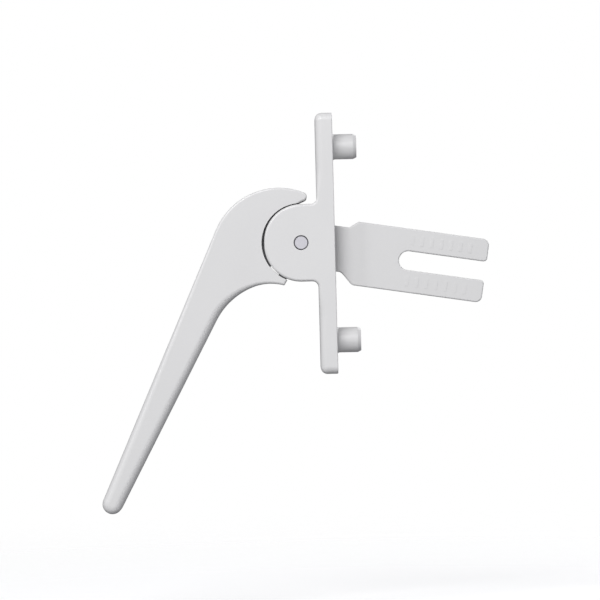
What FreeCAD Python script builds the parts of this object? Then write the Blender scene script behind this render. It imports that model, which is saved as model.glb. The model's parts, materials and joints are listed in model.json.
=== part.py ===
import FreeCAD, Part
import math
import os

from FreeCAD import Vector

# Fork handle for a casement window with a two-point lock. Millimetres.
#
# Frame: +X goes out of the base's mounting face, into the window profile. +Y runs along the
# pivot pin, +Z is up. The origin is the centre of the mounting face. The side of the handle
# towards -Y is called near, the side towards +Y far.
#
# The lever stands part way open. It closes by turning anticlockwise as seen from the near side.

# Base plate
PLATE_LENGTH = 107.6
PLATE_WIDTH = 22.0
PLATE_THICKNESS = 7.2
PLATE_CORNER_ROUND = 3.0
PLATE_FRONT_ROUND = 2.8
PLATE_REAR_ROUND = 0.4
POCKET_DEPTH = 4.6
POCKET_WALL = 2.6
POCKET_CORNER_ROUND = 1.5

# Threaded bosses on the mounting face
BOSS_SPACING = 80.0
BOSS_RADIUS = 5.2
BOSS_LENGTH = 9.8
BOSS_FOOT_ROUND = 0.8
BOSS_PAD_RADIUS = 7.2
BOSS_LEAD_LENGTH = 1.4
BOSS_LEAD_DEPTH = 0.7
SCREW_HOLE_RADIUS = 2.5
SCREW_HOLE_DEPTH = 13.0

# Hub: two cheeks with the lever's eye between them
PIVOT = Vector(-14.0, 0, 0.5)
HUB_RADIUS = 15.2
HUB_HALF_HEIGHT = 15.9
HUB_FOOT_ROUND = 2.5
HUB_EDGE_ROUND = 1.0
HUB_BLEND_LENGTH = 12.0
CHEEK_GAP = 12.2
SLOT_HALF_HEIGHT = 16.2

# Pivot pin, bush and washers
PIN_RADIUS = 3.0
PIN_END_RADIUS = 2.65
PIN_END_LENGTH = 1.3
PIN_END_CHAMFER = 0.15
PIN_HOLE_CHAMFER = 0.15
BUSH_RUNNING_FIT = 0.04
BUSH_RADIUS = 4.0
WASHER_THICKNESS = 0.6
WASHER_RADIUS = 6.5

# Lever, all places measured from the pivot
LEVER_TOP_WIDTH = 22.0
LEVER_TIP_WIDTH = 15.0
LEVER_TOP_Z = 25.0
LEVER_TIP_Z = -112.0
HEAD_CENTRE = Vector(-9.25, 0, -5.3)
HEAD_RADIUS = 28.15
TIP_CENTRE = Vector(-80.6, 0, -105.9)
TIP_RADIUS = 4.15
THROAT_CENTRE = Vector(-10.4, 0, -44.8)
THROAT_RADIUS = 28.9
LIP_RADIUS = 20.5
LIP_ARC_START = 111.0
LIP_ARC_END = 73.0
HOLLOW_RADIUS = 16.3
HOLLOW_START = 93.5
HOLLOW_END = 248.0
HOOK_RELIEF_SLOPE = 24.0
HOOK_NOSE_ROUND = 1.7
LIP_END_ROUND = 0.45
LEVER_EDGE_LEAST = 0.6
LEVER_EDGE_MOST = 3.2
LEVER_EDGE_GROWTH = 0.09
RIM_MARGIN = 0.2

# Lever's eye, the webs that join it to the head, and a low rib between them
EYE_RADIUS = 12.5
EYE_THICKNESS = 10.9
WEBS = ((100.0, 216.0), (233.0, 246.5))
WEB_ROOT_OVERLAP = 1.5
WEB_HEAD_OVERLAP = 0.4
RIB = (217.5, 231.5)
RIB_RADIUS = 16.0
RIB_WIDTH = 18.0

# Fork
FORK_TILT = 9.25
FORK_THICKNESS = 4.5
FORK_FIT = 0.05
FORK_ROOM = 0.3
ROOT_RADIUS = 10.5
NECK_TOP = 9.1
NECK_BOTTOM = -9.7
UPPER_SHOULDER = (18.9, 22.4)
LOWER_SHOULDER = (18.0, 23.2)
BLADE_TOP = 12.0
BLADE_BOTTOM = -14.4
BLADE_END = 77.2
FORK_SLOT_TOP = 2.75
FORK_SLOT_BOTTOM = -5.05
FORK_SLOT_START = 41.1
FORK_SLOT_ROUND = 3.89
PRONG_OUTER_ROUND = 2.7
PRONG_INNER_ROUND = 1.5
UPPER_SHOULDER_ROUND = 1.2
LOWER_SHOULDER_ROUND = 2.6
FORK_EDGE_ROUND = 0.6
MARK_COUNT = 7
MARK_START = 45.0
MARK_PITCH = 4.0
MARK_SIZE = (1.2, 4.0)
MARK_HEIGHT = 0.1

# Dowels that key the fork's root into the eye
DOWEL_RADIUS = 1.5
DOWEL_CIRCLE = 8.0
DOWEL_ANGLES = (135.0, 225.0)
DOWEL_LENGTH = 10.7
DOWEL_END_CHAMFER = 0.3

# Detent: two sprung balls in the eye's web, and dimples in the cheeks
DETENT_CIRCLE = 12.9
DETENT_ANGLE = 180.0
DETENT_HOLE_RADIUS = 2.0
BALL_RADIUS = 1.95
BALL_CLEARANCE = 0.03
SPRING_RADIUS = 1.3
SPRING_WIRE_RADIUS = 0.45
SPRING_TURNS = 3
SPRING_LENGTH = 4.0
DIMPLE_RADIUS = 2.2
DIMPLE_DEPTH = 0.5
CLOSED_TURN = 26.0
OPEN_TURN = -9.0

# Radial room round the pin, bush and dowels where they are held
SEAT_CLEARANCE = 0.02

# How far a cutting shape runs past the face it opens, and how closely two places must agree
CUT_PAST = 1.0
TOLERANCE = 1e-4

ALONG_X = Vector(1, 0, 0)
ALONG_Y = Vector(0, 1, 0)


def box(x_range, y_range, z_range):
    sizes = [high - low for low, high in (x_range, y_range, z_range)]
    return Part.makeBox(*sizes, Vector(x_range[0], y_range[0], z_range[0]))


def rod(radius, start, length, direction):
    return Part.makeCylinder(radius, length, start, direction)


def cross_rod(radius, centre, width):
    """A cylinder along Y, centred on the handle's middle plane."""
    return rod(radius, Vector(centre.x, -width / 2, centre.z), width, ALONG_Y)


def polar(radius, angle, centre=PIVOT):
    """A point at an angle from +X, anticlockwise as seen from the near side."""
    turn = math.radians(angle)
    return centre + Vector(radius * math.cos(turn), 0, radius * math.sin(turn))


def arc(centre, radius, start, end):
    middle = (start + end) / 2
    points = [polar(radius, angle, centre) for angle in (start, middle, end)]
    return Part.Arc(*points).toShape()


def slab(edges, y_low, y_high):
    """The closed outline in the XZ plane, carried from y_low to y_high."""
    wire = Part.Wire(Part.__sortEdges__(edges))
    wire.translate(Vector(0, y_low, 0))
    return Part.Face(wire).extrude(Vector(0, y_high - y_low, 0))


def rounded_outline(corners):
    """Edges of a closed outline in the XZ plane, each corner (x, z, radius) given a tangent arc."""
    spans = []
    for index, (x, z, radius) in enumerate(corners):
        corner = Vector(x, 0, z)
        before = Vector(corners[index - 1][0], 0, corners[index - 1][1]) - corner
        following = corners[(index + 1) % len(corners)]
        after = Vector(following[0], 0, following[1]) - corner
        before.normalize()
        after.normalize()
        half = before.getAngle(after) / 2
        reach = radius / math.tan(half)
        inward = (before + after).normalize()
        middle = corner + inward * (radius / math.sin(half) - radius)
        spans.append((corner + before * reach, middle, corner + after * reach, radius))
    edges = []
    for index, (start, middle, end, radius) in enumerate(spans):
        if radius:
            edges.append(Part.Arc(start, middle, end).toShape())
        next_start = spans[(index + 1) % len(spans)][0]
        if end.distanceToPoint(next_start) > TOLERANCE:
            edges.append(Part.LineSegment(end, next_start).toShape())
    return edges


def common_tangent(centre_a, radius_a, centre_b, radius_b):
    """Touch points and heading of the line that leaves circle A and meets circle B.

    A circle on the left of the line, looking along it, has a positive radius.
    """
    gap = centre_b - centre_a
    heading = math.atan2(gap.z, gap.x) - math.asin((radius_b - radius_a) / gap.Length)
    left = Vector(-math.sin(heading), 0, math.cos(heading))
    return centre_a - left * radius_a, centre_b - left * radius_b, math.degrees(heading)


def from_pivot(point):
    return math.hypot(point.x - PIVOT.x, point.z - PIVOT.z)


def edges_where(shape, test):
    return [edge for edge in shape.Edges if test(edge)]


def on_plane(edge, axis, value):
    points = [vertex.Point for vertex in edge.Vertexes] + [edge.CenterOfMass]
    return all(abs(getattr(point, axis) - value) < TOLERANCE for point in points)


def on_either_side(edge, half_width):
    """Whether the edge lies in one of the two planes y = half_width and y = -half_width."""
    return on_plane(edge, "y", half_width) or on_plane(edge, "y", -half_width)


def graded_fillet(shape, edges, radius_at):
    """Round each edge, from radius_at its first end to radius_at its last end."""
    document = FreeCAD.newDocument()
    source = document.addObject("Part::Feature")
    source.Shape = shape
    fillet = document.addObject("Part::Fillet")
    fillet.Base = source
    picks = []
    for index, edge in enumerate(source.Shape.Edges, start=1):
        if any(edge.CenterOfMass.distanceToPoint(e.CenterOfMass) < TOLERANCE for e in edges):
            ends = [edge.valueAt(edge.FirstParameter), edge.valueAt(edge.LastParameter)]
            picks.append((index, radius_at(ends[0]), radius_at(ends[1])))
    fillet.Edges = picks
    document.recompute()
    result = fillet.Shape.copy()
    FreeCAD.closeDocument(document.Name)
    return result


def single_solid(shape):
    solids = shape.removeSplitter().Solids
    if len(solids) != 1:
        raise ValueError(f"expected one solid, found {len(solids)}")
    return solids[0]


# Base


def hub_foot(side):
    """Distance from the plate's middle to where the hub's foot runs out, above (1) or below (-1)."""
    return HUB_HALF_HEIGHT + HUB_FOOT_ROUND + side * PIVOT.z


def hub_block():
    """The middle of the base: the plate's depth with the hub on its front, flush at the sides."""
    front = -PLATE_THICKNESS
    crown = PIVOT.x - HUB_RADIUS
    top = PIVOT.z + HUB_HALF_HEIGHT
    bottom = PIVOT.z - HUB_HALF_HEIGHT
    corners = [
        (0, hub_foot(1), 0),
        (0, -hub_foot(-1), 0),
        (front, -hub_foot(-1), 0),
        (front, bottom, HUB_FOOT_ROUND),
        (crown, bottom, HUB_RADIUS),
        (crown, top, HUB_RADIUS),
        (front, top, HUB_FOOT_ROUND),
        (front, hub_foot(1), 0),
    ]
    side = PLATE_WIDTH / 2
    block = slab(rounded_outline(corners), -side, side)
    rims = edges_where(
        block, lambda e: on_either_side(e, side) and e.CenterOfMass.x < front - TOLERANCE
    )
    return block.makeFillet(HUB_EDGE_ROUND, rims)


def plate_wing(side):
    """The plate from the hub to its upper (1) or lower (-1) end.

    Its front edges are as crisp as the hub's at the foot, and grow rounder over the blend.
    """
    half_width = PLATE_WIDTH / 2
    half_length = PLATE_LENGTH / 2
    front = -PLATE_THICKNESS
    foot = hub_foot(side)
    blend_end = foot + HUB_BLEND_LENGTH
    root = box((front, 0), (-half_width, half_width), (foot, blend_end))
    long_edges = edges_where(
        root, lambda e: on_plane(e, "x", front) and on_either_side(e, half_width)
    )
    root = root.makeFillet(HUB_EDGE_ROUND, PLATE_FRONT_ROUND, long_edges)
    wing = box((front, 0), (-half_width, half_width), (-half_length, half_length))
    corners = edges_where(wing, lambda e: abs(e.CenterOfMass.x - front / 2) < TOLERANCE)
    wing = wing.makeFillet(PLATE_CORNER_ROUND, corners)
    wing = wing.makeFillet(PLATE_FRONT_ROUND, edges_where(wing, lambda e: on_plane(e, "x", front)))
    wing = wing.common(box((front, 0), (-half_width, half_width), (blend_end, half_length)))
    both = root.fuse(wing)
    if side < 0:
        both.rotate(Vector(), ALONG_X, 180)
    return both


def boss(z):
    outer = rod(BOSS_RADIUS, Vector(0, 0, z), BOSS_LENGTH - BOSS_LEAD_LENGTH, ALONG_X)
    lead = Part.makeCone(
        BOSS_RADIUS,
        BOSS_RADIUS - BOSS_LEAD_DEPTH,
        BOSS_LEAD_LENGTH,
        Vector(BOSS_LENGTH - BOSS_LEAD_LENGTH, 0, z),
        ALONG_X,
    )
    return outer.fuse(lead)


def rear_pockets():
    """Casting pockets in the mounting face, one each side of each boss."""
    half_width = PLATE_WIDTH / 2 - POCKET_WALL
    pockets = []
    for side in (-1, 1):
        stretches = (
            (hub_foot(side) + POCKET_WALL, BOSS_SPACING / 2 - BOSS_PAD_RADIUS),
            (BOSS_SPACING / 2 + BOSS_PAD_RADIUS, PLATE_LENGTH / 2 - POCKET_WALL),
        )
        for low, high in stretches:
            z_range = sorted((side * low, side * high))
            hole = box((-POCKET_DEPTH, CUT_PAST), (-half_width, half_width), z_range)
            middle = (CUT_PAST - POCKET_DEPTH) / 2
            upright = edges_where(hole, lambda e: abs(e.CenterOfMass.x - middle) < TOLERANCE)
            pockets.append(hole.makeFillet(POCKET_CORNER_ROUND, upright))
    return pockets


def detent_dimples():
    centre_y = CHEEK_GAP / 2 + DIMPLE_DEPTH - DIMPLE_RADIUS
    dimples = []
    for turn in (CLOSED_TURN, OPEN_TURN):
        for side in (-1, 1):
            place = polar(DETENT_CIRCLE, DETENT_ANGLE + turn) + Vector(0, side * centre_y, 0)
            dimples.append(Part.makeSphere(DIMPLE_RADIUS, place))
    return dimples


def pin_hole():
    """The pin's hole through both cheeks, opened out at its two mouths."""
    hole = cross_rod(PIN_RADIUS + SEAT_CLEARANCE, PIVOT, PLATE_WIDTH + 2 * CUT_PAST)
    for side in (-1, 1):
        mouth = PIVOT + ALONG_Y * (side * PLATE_WIDTH / 2)
        cone = Part.makeCone(
            PIN_RADIUS + SEAT_CLEARANCE + PIN_HOLE_CHAMFER,
            PIN_RADIUS + SEAT_CLEARANCE,
            PIN_HOLE_CHAMFER,
            mouth,
            Vector(0, -side, 0),
        )
        hole = hole.fuse(cone)
    return hole


def make_base():
    body = hub_block().fuse([plate_wing(1), plate_wing(-1)]).removeSplitter()
    rear = edges_where(body, lambda e: on_plane(e, "x", 0))
    body = body.makeFillet(PLATE_REAR_ROUND, rear)
    body = body.fuse([boss(z) for z in (-BOSS_SPACING / 2, BOSS_SPACING / 2)])
    feet = edges_where(
        body,
        lambda e: on_plane(e, "x", 0) and isinstance(e.Curve, Part.Circle)
        and abs(e.Curve.Radius - BOSS_RADIUS) < TOLERANCE,
    )
    body = body.makeFillet(BOSS_FOOT_ROUND, feet)
    slot = box(
        (PIVOT.x - HUB_RADIUS - CUT_PAST, CUT_PAST),
        (-CHEEK_GAP / 2, CHEEK_GAP / 2),
        (PIVOT.z - SLOT_HALF_HEIGHT, PIVOT.z + SLOT_HALF_HEIGHT),
    )
    mouth = BOSS_LENGTH + CUT_PAST
    screw_holes = [
        rod(SCREW_HOLE_RADIUS, Vector(mouth, 0, z), SCREW_HOLE_DEPTH + CUT_PAST, -ALONG_X)
        for z in (-BOSS_SPACING / 2, BOSS_SPACING / 2)
    ]
    cuts = [slot, pin_hole()] + rear_pockets() + detent_dimples() + screw_holes
    return single_solid(body.cut(cuts))


# Lever


def lever_outline():
    """The lever seen from the near side: hook, head, grip, throat, lip, and the hollow round the hub."""
    head = PIVOT + HEAD_CENTRE
    tip = PIVOT + TIP_CENTRE
    throat = PIVOT + THROAT_CENTRE
    lip = polar(THROAT_RADIUS - LIP_RADIUS, LIP_ARC_START, throat)
    back_top, back_end, back_heading = common_tangent(head, HEAD_RADIUS, tip, TIP_RADIUS)
    front_top, front_end, front_heading = common_tangent(throat, THROAT_RADIUS, tip, -TIP_RADIUS)

    # The relief under the hook runs straight from the hollow's end to meet the head's arc.
    relief_start = polar(HOLLOW_RADIUS, HOLLOW_START)
    slope = math.radians(HOOK_RELIEF_SLOPE)
    along = Vector(math.cos(slope), 0, math.sin(slope))
    offset = relief_start - head
    run = -offset.dot(along) + math.sqrt(
        offset.dot(along) ** 2 - offset.dot(offset) + HEAD_RADIUS**2
    )
    hook_corner = relief_start + along * run
    hook_angle = math.degrees(math.atan2(hook_corner.z - head.z, hook_corner.x - head.x))

    lip_end = polar(LIP_RADIUS, LIP_ARC_END, lip)
    hollow_end = polar(HOLLOW_RADIUS, HOLLOW_END)

    back_angle = back_heading - 90 + 360
    front_angle = front_heading - 90 + 360
    return [
        Part.LineSegment(relief_start, hook_corner).toShape(),
        arc(head, HEAD_RADIUS, hook_angle, back_angle),
        Part.LineSegment(back_top, back_end).toShape(),
        arc(tip, TIP_RADIUS, back_angle, front_angle + 180),
        Part.LineSegment(front_end, front_top).toShape(),
        arc(throat, THROAT_RADIUS, front_angle, LIP_ARC_START),
        arc(lip, LIP_RADIUS, LIP_ARC_START, LIP_ARC_END),
        Part.LineSegment(lip_end, hollow_end).toShape(),
        arc(PIVOT, HOLLOW_RADIUS, HOLLOW_END, HOLLOW_START),
    ], hook_corner, lip_end


def lever_envelope():
    """The space between the lever's two side planes, which draw together towards the tip."""
    reach = PIVOT.x + TIP_CENTRE.x - 2 * TIP_RADIUS
    corners = [
        Vector(reach, -LEVER_TOP_WIDTH / 2, LEVER_TOP_Z),
        Vector(reach, LEVER_TOP_WIDTH / 2, LEVER_TOP_Z),
        Vector(reach, LEVER_TIP_WIDTH / 2, LEVER_TIP_Z),
        Vector(reach, -LEVER_TIP_WIDTH / 2, LEVER_TIP_Z),
    ]
    face = Part.Face(Part.makePolygon(corners + corners[:1]))
    face.translate(Vector(0, 0, PIVOT.z))
    return face.extrude(Vector(-reach, 0, 0))


def lever_edge_round(point):
    """Edges are crisp at the hub and grow rounder with distance from the pivot."""
    radius = LEVER_EDGE_LEAST + LEVER_EDGE_GROWTH * (from_pivot(point) - HOLLOW_RADIUS)
    return min(max(radius, LEVER_EDGE_LEAST), LEVER_EDGE_MOST)


def lever_shell():
    """The outer lever with its edges rounded, before the eye is added."""
    edges, hook_corner, lip_end = lever_outline()
    body = slab(edges, -LEVER_TOP_WIDTH / 2, LEVER_TOP_WIDTH / 2)
    for corner, radius in ((hook_corner, HOOK_NOSE_ROUND), (lip_end, LIP_END_ROUND)):
        ridge = edges_where(body, lambda e: e.CenterOfMass.distanceToPoint(corner) < TOLERANCE)
        body = body.makeFillet(radius, ridge)
    body = body.common(lever_envelope()).Solids[0]

    def on_rim(edge):
        middle = edge.valueAt((edge.FirstParameter + edge.LastParameter) / 2)
        return abs(middle.y) > TOLERANCE and from_pivot(middle) > HOLLOW_RADIUS + RIM_MARGIN

    return graded_fillet(body, edges_where(body, on_rim), lever_edge_round)


def ring_sector(inner, start, end, width):
    """Part of a ring inside the lever's hollow, from the inner radius to the head."""
    outer = HOLLOW_RADIUS + WEB_HEAD_OVERLAP
    edges = [
        arc(PIVOT, inner, start, end),
        Part.LineSegment(polar(inner, end), polar(outer, end)).toShape(),
        arc(PIVOT, outer, end, start),
        Part.LineSegment(polar(outer, start), polar(inner, start)).toShape(),
    ]
    return slab(edges, -width / 2, width / 2)


def fork_clearance():
    """The slot in the eye for the fork's root, open towards the window."""
    half = FORK_THICKNESS / 2 + FORK_FIT
    channel = box(
        (PIVOT.x, PIVOT.x + EYE_RADIUS + CUT_PAST),
        (-half, half),
        (PIVOT.z + NECK_BOTTOM - FORK_ROOM, PIVOT.z + NECK_TOP + FORK_ROOM),
    )
    channel.rotate(PIVOT, ALONG_Y, FORK_TILT)
    return cross_rod(ROOT_RADIUS + FORK_ROOM, PIVOT, 2 * half).fuse(channel)


def make_lever():
    eye = cross_rod(EYE_RADIUS, PIVOT, EYE_THICKNESS)
    root = EYE_RADIUS - WEB_ROOT_OVERLAP
    webs = [ring_sector(root, start, end, EYE_THICKNESS) for start, end in WEBS]
    rib = ring_sector(RIB_RADIUS, *RIB, RIB_WIDTH)
    body = lever_shell().fuse([eye, rib] + webs)
    across = EYE_THICKNESS + 2 * CUT_PAST
    dowel_holes = [
        cross_rod(DOWEL_RADIUS + SEAT_CLEARANCE, polar(DOWEL_CIRCLE, angle), across)
        for angle in DOWEL_ANGLES
    ]
    bush_hole = cross_rod(BUSH_RADIUS + SEAT_CLEARANCE, PIVOT, across)
    detent_place = polar(DETENT_CIRCLE, DETENT_ANGLE)
    detent_hole = cross_rod(DETENT_HOLE_RADIUS, detent_place, across)
    return single_solid(body.cut([fork_clearance(), bush_hole, detent_hole] + dowel_holes))


# Fork


def fork_outline():
    return rounded_outline(
        [
            (0, NECK_TOP, 0),
            (0, NECK_BOTTOM, 0),
            (LOWER_SHOULDER[0], NECK_BOTTOM, LOWER_SHOULDER_ROUND),
            (LOWER_SHOULDER[1], BLADE_BOTTOM, LOWER_SHOULDER_ROUND),
            (BLADE_END, BLADE_BOTTOM, PRONG_OUTER_ROUND),
            (BLADE_END, FORK_SLOT_BOTTOM, PRONG_INNER_ROUND),
            (FORK_SLOT_START, FORK_SLOT_BOTTOM, FORK_SLOT_ROUND),
            (FORK_SLOT_START, FORK_SLOT_TOP, FORK_SLOT_ROUND),
            (BLADE_END, FORK_SLOT_TOP, PRONG_INNER_ROUND),
            (BLADE_END, BLADE_TOP, PRONG_OUTER_ROUND),
            (UPPER_SHOULDER[1], BLADE_TOP, UPPER_SHOULDER_ROUND),
            (UPPER_SHOULDER[0], NECK_TOP, UPPER_SHOULDER_ROUND),
        ]
    )


def fork_marks():
    """Plain raised bars on the near face of both prongs."""
    bars = []
    face = -FORK_THICKNESS / 2
    width, height = MARK_SIZE
    middles = ((BLADE_TOP + FORK_SLOT_TOP) / 2, (BLADE_BOTTOM + FORK_SLOT_BOTTOM) / 2)
    for middle in middles:
        for index in range(MARK_COUNT):
            start = MARK_START + index * MARK_PITCH
            bars.append(
                box(
                    (start, start + width),
                    (face - MARK_HEIGHT, face + MARK_HEIGHT),
                    (middle - height / 2, middle + height / 2),
                )
            )
    return bars


def make_fork():
    """Drawn along +X from the pivot at the origin, then tilted and moved to the pivot."""
    half = FORK_THICKNESS / 2
    blade = slab(fork_outline(), -half, half)
    root = cross_rod(ROOT_RADIUS, Vector(), FORK_THICKNESS)
    rims = edges_where(blade, lambda e: on_either_side(e, half) and not on_plane(e, "x", 0))
    blade = blade.makeFillet(FORK_EDGE_ROUND, rims)
    body = blade.fuse([root] + fork_marks())
    body.rotate(Vector(), ALONG_Y, FORK_TILT)
    body.translate(PIVOT)
    across = FORK_THICKNESS + 2 * CUT_PAST
    holes = [cross_rod(BUSH_RADIUS + FORK_FIT, PIVOT, across)]
    for angle in DOWEL_ANGLES:
        holes.append(cross_rod(DOWEL_RADIUS + SEAT_CLEARANCE, polar(DOWEL_CIRCLE, angle), across))
    return single_solid(body.cut(holes))


# Pivot and detent


def make_pin():
    """A pin whose two ends are turned down, which leaves a fine ring round each in its cheek."""
    side = PLATE_WIDTH / 2
    core = cross_rod(PIN_END_RADIUS, PIVOT, PLATE_WIDTH)
    rims = edges_where(core, lambda e: isinstance(e.Curve, Part.Circle) and on_either_side(e, side))
    core = core.makeChamfer(PIN_END_CHAMFER, rims)
    return core.fuse(cross_rod(PIN_RADIUS, PIVOT, PLATE_WIDTH - 2 * PIN_END_LENGTH))


def make_bush():
    outer = cross_rod(BUSH_RADIUS, PIVOT, EYE_THICKNESS)
    bore = cross_rod(PIN_RADIUS + BUSH_RUNNING_FIT, PIVOT, EYE_THICKNESS + 2 * CUT_PAST)
    return outer.cut(bore)


def make_washer(side):
    """Side is -1 for the near washer, 1 for the far one."""
    room = (CHEEK_GAP - EYE_THICKNESS) / 2
    start = EYE_THICKNESS / 2 + (room - WASHER_THICKNESS) / 2
    low = start if side > 0 else -start - WASHER_THICKNESS
    place = PIVOT + ALONG_Y * low
    disc = rod(WASHER_RADIUS, place, WASHER_THICKNESS, ALONG_Y)
    return disc.cut(rod(PIN_RADIUS + BUSH_RUNNING_FIT, place, WASHER_THICKNESS, ALONG_Y))


def make_dowel(angle):
    dowel = cross_rod(DOWEL_RADIUS, polar(DOWEL_CIRCLE, angle), DOWEL_LENGTH)
    rims = edges_where(dowel, lambda e: isinstance(e.Curve, Part.Circle))
    return dowel.makeChamfer(DOWEL_END_CHAMFER, rims)


def make_ball(side):
    centre_y = side * (CHEEK_GAP / 2 - BALL_CLEARANCE - BALL_RADIUS)
    return Part.makeSphere(BALL_RADIUS, polar(DETENT_CIRCLE, DETENT_ANGLE) + ALONG_Y * centre_y)


def make_spring():
    """A coil along Y between the two balls."""
    line = Part.makeHelix(SPRING_LENGTH / SPRING_TURNS, SPRING_LENGTH, SPRING_RADIUS)
    section = Part.Wire(
        Part.makeCircle(SPRING_WIRE_RADIUS, Vector(SPRING_RADIUS, 0, 0), ALONG_Y)
    )
    coil = Part.Wire(line.Edges).makePipeShell([section], True, True)
    coil.translate(Vector(0, 0, -SPRING_LENGTH / 2))
    coil.rotate(Vector(), ALONG_X, 90)
    coil.translate(polar(DETENT_CIRCLE, DETENT_ANGLE))
    return coil


def main():
    nodes = {
        "base": make_base(),
        "lever": make_lever(),
        "fork": make_fork(),
        "pivot_pin": make_pin(),
        "pivot_bush": make_bush(),
        "thrust_washer_near": make_washer(-1),
        "thrust_washer_far": make_washer(1),
        "fork_dowel_upper": make_dowel(DOWEL_ANGLES[0]),
        "fork_dowel_lower": make_dowel(DOWEL_ANGLES[1]),
        "detent_ball_near": make_ball(-1),
        "detent_ball_far": make_ball(1),
        "detent_spring": make_spring(),
    }
    os.makedirs("parts", exist_ok=True)
    for name, shape in nodes.items():
        shape.exportStep(f"parts/{name}.step")
        print(f"{name}: valid {shape.isValid()}, {shape.Volume / 1000:.2f} cm3")


main()
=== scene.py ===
import json
import math

import bmesh
import bpy
from mathutils import Matrix, Vector


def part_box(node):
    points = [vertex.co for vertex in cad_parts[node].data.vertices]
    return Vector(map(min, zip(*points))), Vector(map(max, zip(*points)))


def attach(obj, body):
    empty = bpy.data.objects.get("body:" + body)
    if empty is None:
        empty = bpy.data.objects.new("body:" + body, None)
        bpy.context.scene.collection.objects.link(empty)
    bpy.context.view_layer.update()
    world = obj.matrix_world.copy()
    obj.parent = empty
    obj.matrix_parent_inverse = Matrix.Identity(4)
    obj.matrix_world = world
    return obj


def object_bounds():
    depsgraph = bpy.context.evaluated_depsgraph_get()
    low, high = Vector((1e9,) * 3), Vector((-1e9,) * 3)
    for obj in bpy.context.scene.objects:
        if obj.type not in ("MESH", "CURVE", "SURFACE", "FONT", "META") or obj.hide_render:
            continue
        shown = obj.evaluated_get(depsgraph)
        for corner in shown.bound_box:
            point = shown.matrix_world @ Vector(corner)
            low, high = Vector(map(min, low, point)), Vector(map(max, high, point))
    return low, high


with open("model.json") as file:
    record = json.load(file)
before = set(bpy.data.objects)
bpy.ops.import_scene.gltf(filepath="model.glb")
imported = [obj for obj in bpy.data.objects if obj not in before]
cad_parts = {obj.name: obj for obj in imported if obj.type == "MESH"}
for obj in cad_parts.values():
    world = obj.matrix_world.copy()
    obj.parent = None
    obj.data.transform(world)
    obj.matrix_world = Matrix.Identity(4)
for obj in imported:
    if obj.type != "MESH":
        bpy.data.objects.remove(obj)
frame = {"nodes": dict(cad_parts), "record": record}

# Looks of a casement window handle with a fork. Metres, in the CAD frame: the base's mounting
# face is x = 0, +X goes into the window, +Z is up and the pivot pin runs along Y.

CAD_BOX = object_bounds()
NODES = frame["nodes"]
MM = 0.001

# Camera: it looks along +Y, rolled so that the handle's top leans a little to the left
CAMERA_TARGET = Vector((-0.01506, -0.002, -0.02305))
CAMERA_LENS = 200.0
CAMERA_SENSOR = 36.0
PICTURE_WIDTH = 0.2483
CAMERA_ROLL = math.radians(1.45)

# Colours, linear
COAT = (0.805, 0.80, 0.797)
STEEL = (0.62, 0.61, 0.65)
SPRING_STEEL = (0.42, 0.42, 0.44)
BRONZE = (0.55, 0.36, 0.17)
NYLON = (0.76, 0.75, 0.70)
BARE_METAL = (0.66, 0.66, 0.67)
# Greasy bare metal in the hub gap, darkened to paint the shade in the gap
GAP_GREASE_AND_SHADE = (0.10, 0.10, 0.11)
# Greasy filling of the pin's groove, near-black to paint the groove's shade
GROOVE_GREASE_AND_SHADE = (0.035, 0.033, 0.04)
FLOOR = (0.85, 0.85, 0.85)

# Floor: how far it is below the handle, where it starts to fade, and its radius
FLOOR_GAP = 0.045
FLOOR_FADE = 0.2
FLOOR_REACH = 0.7
FLOOR_SIDES = 96

# Floor's own light, which keeps its shaded parts pale
FLOOR_GLOW = 0.38

# Surround: its colour as light, the way to its brightest side, that vector's length, and its
# strength on the far side and on the brightest one
SKY_COLOUR = (0.97, 0.98, 1.03, 1)
SKY_SIDE = (0, -0.7, 0.5)
SKY_REACH = 0.86
SKY_LEAST = 0.08
SKY_MOST = 0.40

# Lights: name, direction from LIGHT_TARGET, distance, size, power
LIGHT_TARGET = Vector((-0.015, 0, -0.02))
LIGHTS = (
    ("key", (-0.30, -0.80, 0.52), 1.6, 1.0, 13.5),
    ("left", (-0.90, -0.60, 0.35), 1.3, 0.22, 1.8),
    ("front", (0.10, -1.0, 0.15), 2.4, 1.6, 6.4),
    ("rear", (0.70, 0.80, 0.35), 1.6, 1.6, 13.0),
)

# M5 thread in each boss
THREAD_DEPTH = 12.4 * MM
THREAD_PITCH = 0.8 * MM
THREAD_HEIGHT = 0.41 * MM
THREAD_BITE = 0.02 * MM
THREAD_STEPS = 40
THREAD_LEAST = 0.06
THREAD_TAPER = 1.5

# Inside the cheek gap and the lever's hollow: (reach from the pin's axis, half width), bare metal
# under a greasy film, made dark to paint the shade in the gap
BASE_GREASE_AND_SHADE_ZONE = (16.25 * MM, 6.15 * MM)
LEVER_GREASE_AND_SHADE_ZONE = (16.36 * MM, 8.6 * MM)

# Grease in the groove round each end of the pin, near-black to paint the groove's shade: depths are
# from the pin's end
GROOVE_INNER = 2.66 * MM
GROOVE_OUTER = 3.0 * MM
SHADE_GREASE_RIM = 0.22 * MM
SHADE_GREASE_MIDDLE = 0.34 * MM
SHADE_GREASE_FLOOR = 1.0 * MM
SHADE_GREASE_SIDES = 72


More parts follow.
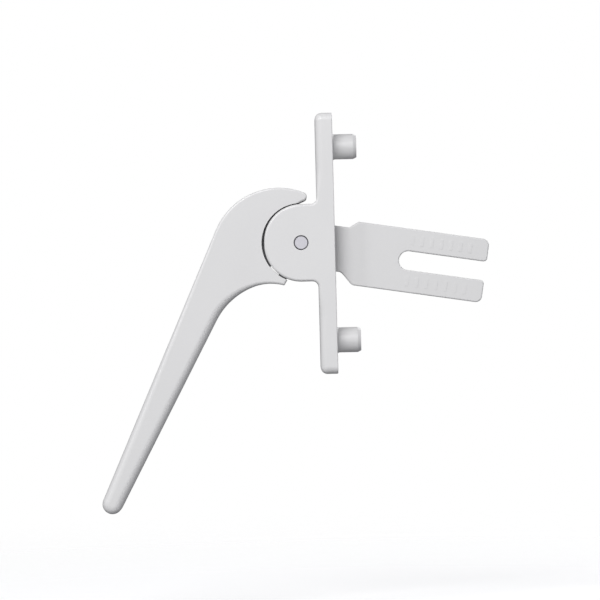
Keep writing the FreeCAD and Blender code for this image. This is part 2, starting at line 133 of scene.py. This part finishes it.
class Material:
    """A Principled material and short ways to add nodes that read the object's own coordinates."""

    def __init__(self, name, color, roughness, **sockets):
        self.material = bpy.data.materials.new(name)
        self.material.use_nodes = True
        self.tree = self.material.node_tree
        self.shader = self.tree.nodes["Principled BSDF"]
        self.shader.inputs["Base Color"].default_value = (*color, 1)
        self.shader.inputs["Roughness"].default_value = roughness
        for socket, value in sockets.items():
            self.shader.inputs[socket.replace("_", " ")].default_value = value
        self.place = self.node("ShaderNodeTexCoord").outputs["Object"]

    def node(self, kind, **inputs):
        made = self.tree.nodes.new(kind)
        for name, value in inputs.items():
            self.set(made.inputs[name.replace("_", " ")], value)
        return made

    def set(self, socket, value):
        if isinstance(value, bpy.types.NodeSocket):
            self.tree.links.new(value, socket)
        else:
            socket.default_value = value

    def noise(self, scale, detail, place=None):
        made = self.node("ShaderNodeTexNoise", Scale=scale, Detail=detail)
        self.set(made.inputs["Vector"], place or self.place)
        return made.outputs["Fac"]

    def stretched(self, scales):
        """The object's coordinates, each multiplied by its own number."""
        made = self.node("ShaderNodeMapping", Vector=self.place)
        made.inputs["Scale"].default_value = scales
        return made.outputs["Vector"]

    def ranged(self, value, low, high, new_low, new_high):
        made = self.node("ShaderNodeMapRange", Value=value)
        for name, number in (
            ("From Min", low), ("From Max", high), ("To Min", new_low), ("To Max", new_high)
        ):
            made.inputs[name].default_value = number
        return made.outputs["Result"]

    def math(self, operation, *values):
        made = self.node("ShaderNodeMath")
        made.operation = operation
        for socket, value in zip(made.inputs, values):
            self.set(socket, value)
        return made.outputs["Value"]

    def between(self, amount, first, second):
        made = self.tree.nodes.new("ShaderNodeMix")
        made.data_type = "RGBA"
        self.set(made.inputs["Factor"], amount)
        for socket, color in (("A", first), ("B", second)):
            found = [i for i in made.inputs if i.name == socket and i.type == "RGBA"][0]
            self.set(found, color if isinstance(color, bpy.types.NodeSocket) else (*color, 1))
        return [o for o in made.outputs if o.type == "RGBA"][0]

    def round_y(self, centre):
        """Distance from the line along Y through the centre, and the place along it."""
        split = self.node("ShaderNodeSeparateXYZ", Vector=self.place)
        offsets = [
            self.math("SUBTRACT", split.outputs[axis], value)
            for axis, value in (("X", centre.x), ("Z", centre.z))
        ]
        squares = [self.math("MULTIPLY", offset, offset) for offset in offsets]
        return self.math("SQRT", self.math("ADD", *squares)), split.outputs["Y"]

    def bump(self, height, distance, strength=1.0, under=None):
        made = self.node("ShaderNodeBump", Height=height, Distance=distance, Strength=strength)
        if under is not None:
            self.set(made.inputs["Normal"], under)
        return made.outputs["Normal"]

    def color(self, value):
        self.set(self.shader.inputs["Base Color"], value)

    def roughness(self, value):
        self.set(self.shader.inputs["Roughness"], value)

    def normal(self, value):
        self.set(self.shader.inputs["Normal"], value)


def shade(color, factor):
    return tuple(channel * factor for channel in color)


def powder_coat(name, color, grease_and_shade_zone=None):
    """Satin powder coat: faint clouds of tone, orange peel, and a few less glossy patches.

    With a zone (pivot, (reach, half_width)), the surfaces that near to the pivot are bare
    metal under a greasy film, darkened to paint the shade in the gap.
    """
    coat = Material(name, color, 0.34, Coat_Weight=0.25, Coat_Roughness=0.18)
    clouds = coat.noise(38.0, 3.0)
    tone = coat.ranged(clouds, 0.3, 0.7, 0.0, 1.0)
    grains = coat.ranged(coat.noise(2600.0, 1.0), 0.35, 0.65, 0.0, 1.0)
    large = coat.between(tone, shade(color, 0.985), shade(color, 1.012))
    painted = coat.between(coat.math("MULTIPLY", grains, 0.25), large, shade(color, 0.965))
    # Painted shade: near the pivot and inside the gap the colour turns to dark greasy metal
    if grease_and_shade_zone:
        pivot, (reach, half_width) = grease_and_shade_zone
        radius, across = coat.round_y(pivot)
        near = coat.math("LESS_THAN", radius, reach)
        inside = coat.math("LESS_THAN", coat.math("ABSOLUTE", across), half_width)
        greasy_smears_and_shade = coat.between(coat.noise(420.0, 3.0), GAP_GREASE_AND_SHADE, shade(GAP_GREASE_AND_SHADE, 1.8))
        painted = coat.between(coat.math("MULTIPLY", near, inside), painted, greasy_smears_and_shade)
    coat.color(painted)
    coat.roughness(coat.ranged(coat.noise(95.0, 4.0), 0.3, 0.7, 0.30, 0.42))
    peel = coat.bump(coat.noise(720.0, 1.5), 0.02 * MM, 0.8)
    coat.normal(coat.bump(coat.noise(3400.0, 1.0), 0.003 * MM, 0.6, peel))
    return coat


def turned_steel(name, color, pivot):
    """Plated steel turned on a lathe: fine rings round the pivot's axis."""
    steel = Material(name, color, 0.4, Metallic=0.6)
    radius, across = steel.round_y(pivot)
    join = steel.node("ShaderNodeCombineXYZ", X=radius, Y=across)
    rings = steel.noise(9000.0, 2.0, join.outputs["Vector"])
    steel.color(steel.between(rings, shade(color, 0.88), shade(color, 1.06)))
    steel.roughness(steel.ranged(rings, 0.3, 0.7, 0.34, 0.48))
    steel.normal(steel.bump(rings, 0.004 * MM, 0.7))
    return steel


def drawn_metal(name, color, rough, scales, metallic=1.0):
    """Metal with fine lines along its length and a little tarnish."""
    metal = Material(name, color, rough, Metallic=metallic)
    lines = metal.noise(900.0, 3.0, metal.stretched(scales))
    tarnish = metal.ranged(metal.noise(420.0, 3.0), 0.45, 0.75, 0.0, 0.55)
    fresh = metal.between(lines, shade(color, 0.9), shade(color, 1.08))
    metal.color(metal.between(tarnish, fresh, shade(color, 0.72)))
    metal.roughness(metal.ranged(lines, 0.3, 0.7, rough - 0.06, rough + 0.1))
    metal.normal(metal.bump(lines, 0.004 * MM, 0.6))
    return metal


def moulded_nylon(name, color):
    nylon = Material(name, color, 0.5, Subsurface_Weight=0.12, Subsurface_Scale=0.6 * MM)
    clouds = nylon.noise(260.0, 3.0)
    nylon.color(nylon.between(clouds, shade(color, 0.95), shade(color, 1.04)))
    nylon.roughness(nylon.ranged(clouds, 0.3, 0.7, 0.44, 0.58))
    nylon.normal(nylon.bump(nylon.noise(2400.0, 2.0), 0.006 * MM, 0.6))
    return nylon


# Greasy dark material; where it fills the pin's groove its darkness paints the groove's shade
def grease_and_painted_shade(name, color):
    grease_shade = Material(name, color, 0.35)
    lumps = grease_shade.noise(1800.0, 3.0)
    grease_shade.color(grease_shade.between(lumps, shade(color, 0.7), shade(color, 1.6)))
    grease_shade.roughness(grease_shade.ranged(lumps, 0.3, 0.7, 0.28, 0.5))
    grease_shade.normal(grease_shade.bump(lumps, 0.02 * MM, 0.8))
    return grease_shade


def wear(node, made):
    """Put a material on every slot of a CAD node."""
    mesh = NODES[node].data
    mesh.materials.clear()
    mesh.materials.append(made.material)


def join_rings(mesh, rings, following_rings):
    """Faces between each ring of vertices and the one that follows it."""
    for ring, following in zip(rings, following_rings):
        for index in range(len(ring)):
            after = (index + 1) % len(ring)
            mesh.faces.new((ring[index], ring[after], following[after], following[index]))


def object_of(name, mesh, smooth=False):
    """A new object in the scene from a mesh in the making."""
    bmesh.ops.recalc_face_normals(mesh, faces=mesh.faces)
    for face in mesh.faces:
        face.smooth = smooth
    data = bpy.data.meshes.new(name)
    mesh.to_mesh(data)
    mesh.free()
    made = bpy.data.objects.new(name, data)
    bpy.context.scene.collection.objects.link(made)
    return made


def thread(name, mouth, depth, radius):
    """The ridge of a thread inside a boss, as one coil that tapers away at both ends."""
    crest = radius - THREAD_HEIGHT
    root = radius + THREAD_BITE
    half_crest = 0.06 * THREAD_PITCH
    steps = int((depth / THREAD_PITCH - 1) * THREAD_STEPS)
    mesh = bmesh.new()
    rings = []
    for step in range(steps + 1):
        angle = 2 * math.pi * step / THREAD_STEPS
        x = mouth.x - 0.55 * THREAD_PITCH - THREAD_PITCH * step / THREAD_STEPS
        from_end = min(step, steps - step) / THREAD_STEPS
        height = (root - crest) * max(min(1.0, from_end * THREAD_TAPER), THREAD_LEAST)
        half_root = 0.5 * height + half_crest
        profile = (
            (half_root, root),
            (half_crest, root - height),
            (-half_crest, root - height),
            (-half_root, root),
        )
        rings.append([
            mesh.verts.new((x + along, mouth.y + r * math.cos(angle), mouth.z + r * math.sin(angle)))
            for along, r in profile
        ])
    join_rings(mesh, rings, rings[1:])
    mesh.faces.new(rings[0])
    mesh.faces.new(rings[-1])
    return object_of(name, mesh)


def lathe(name, profile, centre, sides):
    """A closed profile of (radius, y) points turned round a line along Y through the centre."""
    mesh = bmesh.new()
    rings = []
    for step in range(sides):
        angle = 2 * math.pi * step / sides
        turn = Vector((math.cos(angle), 0, math.sin(angle)))
        rings.append([mesh.verts.new(centre + turn * r + Vector((0, y, 0))) for r, y in profile])
    join_rings(mesh, rings, rings[1:] + rings[:1])
    return object_of(name, mesh, smooth=True)


def make_grease_and_shade_rings(material, pivot):
    """Grease, near-black to paint the groove's shade, that fills the fine groove round each end of
    the pin, hollowed in its middle.
    """
    middle = (GROOVE_INNER + GROOVE_OUTER) / 2
    half_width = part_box("pivot_pin")[1].y
    for name, side in (("near", -1), ("far", 1)):
        profile = [
            (GROOVE_INNER, side * (half_width - SHADE_GREASE_RIM)),
            (middle, side * (half_width - SHADE_GREASE_MIDDLE)),
            (GROOVE_OUTER, side * (half_width - SHADE_GREASE_RIM)),
            (GROOVE_OUTER, side * (half_width - SHADE_GREASE_FLOOR)),
            (GROOVE_INNER, side * (half_width - SHADE_GREASE_FLOOR)),
        ]
        ring = lathe(f"pin_grease_and_shade_{name}", profile, pivot, SHADE_GREASE_SIDES)
        ring.data.materials.append(material.material)
        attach(ring, "base_body")


def make_threads(material):
    """A thread in each of the two holes of the record's bolt pattern."""
    mount = next(m for m in frame["record"]["mounts"] if m["name"] == "screw_bosses")
    half = mount["dims"]["spacing_y_mm"] * MM / 2
    radius = mount["dims"]["hole_r_mm"] * MM
    for name, side in (("upper", 1), ("lower", -1)):
        mouth = Vector(mount["pos_m"]) + Vector((0, 0, side * half))
        made = thread(f"boss_thread_{name}", mouth, THREAD_DEPTH, radius)
        made.data.materials.append(material.material)
        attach(made, "base_body")


def area_light(name, place, target, size, power):
    data = bpy.data.lights.new(name, "AREA")
    data.shape = "DISK"
    data.size = size
    data.energy = power
    light = bpy.data.objects.new(name, data)
    light.location = place
    light.rotation_euler = (Vector(target) - Vector(place)).to_track_quat("-Z", "Y").to_euler()
    bpy.context.scene.collection.objects.link(light)


def make_lights():
    for name, direction, distance, size, power in LIGHTS:
        place = LIGHT_TARGET + Vector(direction).normalized() * distance
        area_light(name, place, LIGHT_TARGET, size, power)


def make_world():
    """A white surround for the camera, and a dimmer one that lights the object.

    The second is brightest in front and above, and darkest behind and below.
    """
    world = bpy.data.worlds.new("studio")
    world.use_nodes = True
    tree = world.node_tree
    tree.nodes.clear()
    output = tree.nodes.new("ShaderNodeOutputWorld")
    seen = tree.nodes.new("ShaderNodeBackground")
    seen.inputs["Color"].default_value = (1, 1, 1, 1)
    lighting = tree.nodes.new("ShaderNodeBackground")
    lighting.inputs["Color"].default_value = SKY_COLOUR
    direction = tree.nodes.new("ShaderNodeTexCoord")
    lean = tree.nodes.new("ShaderNodeVectorMath")
    lean.operation = "DOT_PRODUCT"
    lean.inputs[1].default_value = SKY_SIDE
    tree.links.new(direction.outputs["Generated"], lean.inputs[0])
    ramp = tree.nodes.new("ShaderNodeMapRange")
    ramp.inputs["From Min"].default_value = -SKY_REACH
    ramp.inputs["From Max"].default_value = SKY_REACH
    ramp.inputs["To Min"].default_value = SKY_LEAST
    ramp.inputs["To Max"].default_value = SKY_MOST
    tree.links.new(lean.outputs["Value"], ramp.inputs["Value"])
    tree.links.new(ramp.outputs["Result"], lighting.inputs["Strength"])
    path = tree.nodes.new("ShaderNodeLightPath")
    mix = tree.nodes.new("ShaderNodeMixShader")
    tree.links.new(path.outputs["Is Camera Ray"], mix.inputs["Fac"])
    tree.links.new(lighting.outputs["Background"], mix.inputs[1])
    tree.links.new(seen.outputs["Background"], mix.inputs[2])
    tree.links.new(mix.outputs["Shader"], output.inputs["Surface"])
    bpy.context.scene.world = world


def make_floor():
    """A pale round floor a little under the handle, which fades out into the white surround."""
    mesh = bpy.data.meshes.new("floor")
    centre = (CAD_BOX[0] + CAD_BOX[1]) / 2
    low = CAD_BOX[0].z - FLOOR_GAP
    turns = [2 * math.pi * step / FLOOR_SIDES for step in range(FLOOR_SIDES)]
    rim = [(FLOOR_REACH * math.cos(t), FLOOR_REACH * math.sin(t), 0) for t in turns]
    mesh.from_pydata(rim, [], [tuple(range(FLOOR_SIDES))])
    floor = bpy.data.objects.new("floor", mesh)
    floor.location = (centre.x, centre.y, low)
    bpy.context.scene.collection.objects.link(floor)
    paint = Material("floor", FLOOR, 0.95, Emission_Color=(1, 1, 1, 1), Emission_Strength=FLOOR_GLOW)
    paint.color(paint.between(paint.noise(3.0, 2.0), shade(FLOOR, 0.995), FLOOR))
    from_centre = paint.node("ShaderNodeVectorMath", Vector=paint.place)
    from_centre.operation = "LENGTH"
    fade = paint.ranged(from_centre.outputs["Value"], FLOOR_FADE, FLOOR_REACH, 1.0, 0.0)
    paint.set(paint.shader.inputs["Alpha"], paint.math("MULTIPLY", fade, fade))
    mesh.materials.append(paint.material)
    floor.visible_diffuse = False
    floor.visible_glossy = False


def make_camera():
    data = bpy.data.cameras.new("camera")
    data.lens = CAMERA_LENS
    data.sensor_width = CAMERA_SENSOR
    distance = PICTURE_WIDTH * CAMERA_LENS / CAMERA_SENSOR
    data.clip_start = distance / 100
    data.clip_end = distance * 100
    camera = bpy.data.objects.new("camera", data)
    camera.rotation_mode = "QUATERNION"
    camera.location = CAMERA_TARGET + Vector((0, -distance, 0))
    facing = Matrix.Rotation(CAMERA_ROLL, 3, "Y") @ Matrix.Rotation(math.radians(90), 3, "X")
    camera.rotation_quaternion = facing.to_quaternion()
    bpy.context.scene.collection.objects.link(camera)
    bpy.context.scene.camera = camera


def main():
    pin_low, pin_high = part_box("pivot_pin")
    pivot = (pin_low + pin_high) / 2
    # The base and lever coats paint shade into the hub gap as dark greasy metal
    wear("base", powder_coat("base_coat", COAT, (pivot, BASE_GREASE_AND_SHADE_ZONE)))
    wear("lever", powder_coat("lever_coat", COAT, (pivot, LEVER_GREASE_AND_SHADE_ZONE)))
    wear("fork", powder_coat("fork_coat", shade(COAT, 0.96)))
    wear("pivot_pin", turned_steel("pin_steel", STEEL, pivot))
    # Painted shade: near-black greasy rings darken the groove round each end of the pin
    make_grease_and_shade_rings(grease_and_painted_shade("pin_grease_and_shade", GROOVE_GREASE_AND_SHADE), pivot)
    wear("pivot_bush", drawn_metal("bush_bronze", BRONZE, 0.35, (1, 0.1, 1)))
    nylon = moulded_nylon("washer_nylon", NYLON)
    for side in ("near", "far"):
        wear(f"thrust_washer_{side}", nylon)
    dowel = drawn_metal("dowel_steel", STEEL, 0.3, (1, 0.1, 1))
    for place in ("upper", "lower"):
        wear(f"fork_dowel_{place}", dowel)
    sprung = drawn_metal("spring_steel", SPRING_STEEL, 0.25, (1, 1, 1))
    for node in ("detent_ball_near", "detent_ball_far", "detent_spring"):
        wear(node, sprung)
    make_threads(drawn_metal("cut_thread", BARE_METAL, 0.35, (0.2, 1, 1)))
    make_world()
    make_lights()
    make_floor()
    make_camera()
    bpy.context.scene.view_settings.view_transform = "Standard"


main()
